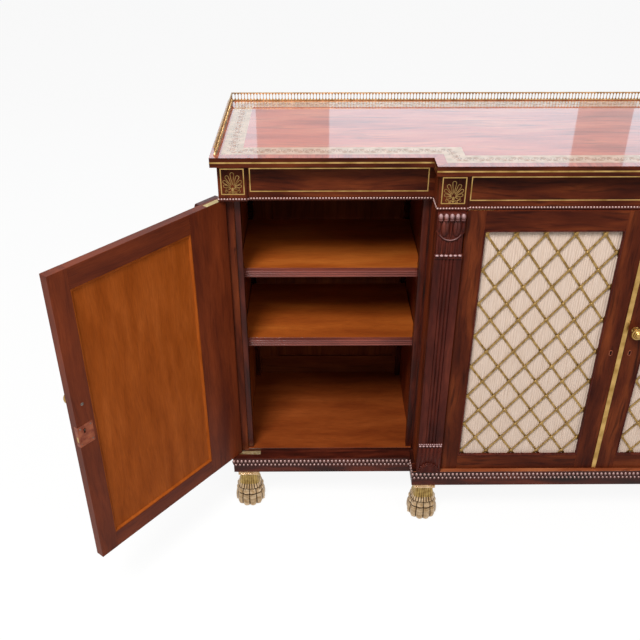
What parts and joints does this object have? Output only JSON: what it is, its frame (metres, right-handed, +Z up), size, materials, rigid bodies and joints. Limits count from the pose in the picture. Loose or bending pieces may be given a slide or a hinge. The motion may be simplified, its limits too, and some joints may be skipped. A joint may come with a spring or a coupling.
{
  "type": "chiffonier",
  "caption": "Breakfront side cabinet with pivot-hinged grille doors, adjustable shelves on toothed racks, reeded pilasters, lion-paw front feet and a low gallery; a wing door stands open.",
  "frame": {"origin": "on the floor, under the middle of the bounding box as it stands with the left wing door open", "axes": "+X to the right along the front, +Y from the front to the back, +Z up"},
  "size_m": [1.9598, 0.676, 0.9186],
  "materials": {
    "rosewood": "high gloss",
    "mahogany": "satin",
    "dark_wood": "satin",
    "brass": "polished",
    "gilt_brass": "burnished",
    "silk": "satin"
  },
  "bodies": {
    "carcase": {"back_frame": "mahogany", "back_panels": "mahogany", "brass_stringing": "brass", "centre_pilaster_left": "rosewood", "centre_pilaster_right": "rosewood", "centre_posts": "rosewood", "end_boards": "rosewood", "fixed_hinge_plates": "brass", "floor_and_ceiling_boards": "mahogany", "frieze_bead": "rosewood", "frieze_boards": "rosewood", "frieze_tablets": "rosewood", "gallery_rails": "brass", "gallery_spindles": "brass", "partitions": "rosewood", "paw_feet": "gilt_brass", "plinth_bead_rows": "rosewood", "plinth_boards": "rosewood", "rear_feet": "dark_wood", "shelf_racks_and_bearers": "mahogany", "top_board": "rosewood"},
    "left_wing_door": {"left_wing_door_backing": "mahogany", "left_wing_door_brassware": "brass", "left_wing_door_frame": "rosewood", "left_wing_door_moulding": "rosewood", "left_wing_door_pilaster": "rosewood", "left_wing_door_silk": "silk", "left_wing_door_trellis": "brass"},
    "left_centre_door": {"left_centre_door_backing": "mahogany", "left_centre_door_brassware": "brass", "left_centre_door_frame": "rosewood", "left_centre_door_moulding": "rosewood", "left_centre_door_silk": "silk", "left_centre_door_trellis": "brass"},
    "right_centre_door": {"right_centre_door_backing": "mahogany", "right_centre_door_brassware": "brass", "right_centre_door_frame": "rosewood", "right_centre_door_meeting_strip": "brass", "right_centre_door_moulding": "rosewood", "right_centre_door_silk": "silk", "right_centre_door_trellis": "brass"},
    "right_wing_door": {"right_wing_door_backing": "mahogany", "right_wing_door_brassware": "brass", "right_wing_door_frame": "rosewood", "right_wing_door_moulding": "rosewood", "right_wing_door_pilaster": "rosewood", "right_wing_door_silk": "silk", "right_wing_door_trellis": "brass"},
    "left_centre_door_bottom_bolt": {"left_centre_door_bottom_bolt": "brass"},
    "left_centre_door_top_bolt": {"left_centre_door_top_bolt": "brass"},
    "left_wing_door_lock_bolt": {"left_wing_door_lock_bolt": "brass"},
    "right_centre_door_lock_bolt": {"right_centre_door_lock_bolt": "brass"},
    "right_wing_door_lock_bolt": {"right_wing_door_lock_bolt": "brass"},
    "shelf_centre_lower": {"shelf_centre_lower": "mahogany"},
    "shelf_centre_upper": {"shelf_centre_upper": "mahogany"},
    "shelf_left_lower": {"shelf_left_lower": "mahogany"},
    "shelf_left_upper": {"shelf_left_upper": "mahogany"},
    "shelf_right_lower": {"shelf_right_lower": "mahogany"},
    "shelf_right_upper": {"shelf_right_upper": "mahogany"}
  },
  "joints": [
    {"name": "left_wing_door_hinge", "type": "hinge", "parent": "carcase", "child": "left_wing_door", "pos_m": [-0.69676, -0.01301, 0], "axis": [0, 0, 1], "range_deg": [-3.3, 128.7]},
    {"name": "left_centre_door_hinge", "type": "hinge", "parent": "carcase", "child": "left_centre_door", "pos_m": [-0.22026, -0.06951, 0], "axis": [0, 0, 1], "range_deg": [-92, 0]},
    {"name": "right_centre_door_hinge", "type": "hinge", "parent": "carcase", "child": "right_centre_door", "pos_m": [0.48535, -0.06951, 0], "axis": [0, 0, 1], "range_deg": [0, 92]},
    {"name": "right_wing_door_hinge", "type": "hinge", "parent": "carcase", "child": "right_wing_door", "pos_m": [0.96184, -0.01301, 0], "axis": [0, 0, 1], "range_deg": [0, 132]},
    {"name": "left_wing_lock_slide", "type": "slide", "parent": "left_wing_door", "child": "left_wing_door_lock_bolt", "axis": [-0.6252, -0.7804, 0], "range_m": [0, 0.008]},
    {"name": "right_centre_lock_slide", "type": "slide", "parent": "right_centre_door", "child": "right_centre_door_lock_bolt", "axis": [-1, 0, 0], "range_m": [0, 0.008]},
    {"name": "right_wing_lock_slide", "type": "slide", "parent": "right_wing_door", "child": "right_wing_door_lock_bolt", "axis": [-1, 0, 0], "range_m": [0, 0.008]},
    {"name": "top_flush_bolt_slide", "type": "slide", "parent": "left_centre_door", "child": "left_centre_door_top_bolt", "axis": [0, 0, 1], "range_m": [0, 0.01]},
    {"name": "bottom_flush_bolt_slide", "type": "slide", "parent": "left_centre_door", "child": "left_centre_door_bottom_bolt", "axis": [0, 0, -1], "range_m": [0, 0.01]},
    {"name": "shelf_centre_lower_lift", "type": "slide", "parent": "carcase", "child": "shelf_centre_lower", "axis": [0, 0, 1], "range_m": [0, 0.017]},
    {"name": "shelf_centre_upper_lift", "type": "slide", "parent": "carcase", "child": "shelf_centre_upper", "axis": [0, 0, 1], "range_m": [0, 0.017]},
    {"name": "shelf_left_lower_lift", "type": "slide", "parent": "carcase", "child": "shelf_left_lower", "axis": [0, 0, 1], "range_m": [0, 0.017]},
    {"name": "shelf_left_upper_lift", "type": "slide", "parent": "carcase", "child": "shelf_left_upper", "axis": [0, 0, 1], "range_m": [0, 0.017]},
    {"name": "shelf_right_lower_lift", "type": "slide", "parent": "carcase", "child": "shelf_right_lower", "axis": [0, 0, 1], "range_m": [0, 0.017]},
    {"name": "shelf_right_upper_lift", "type": "slide", "parent": "carcase", "child": "shelf_right_upper", "axis": [0, 0, 1], "range_m": [0, 0.017]}
  ]
}
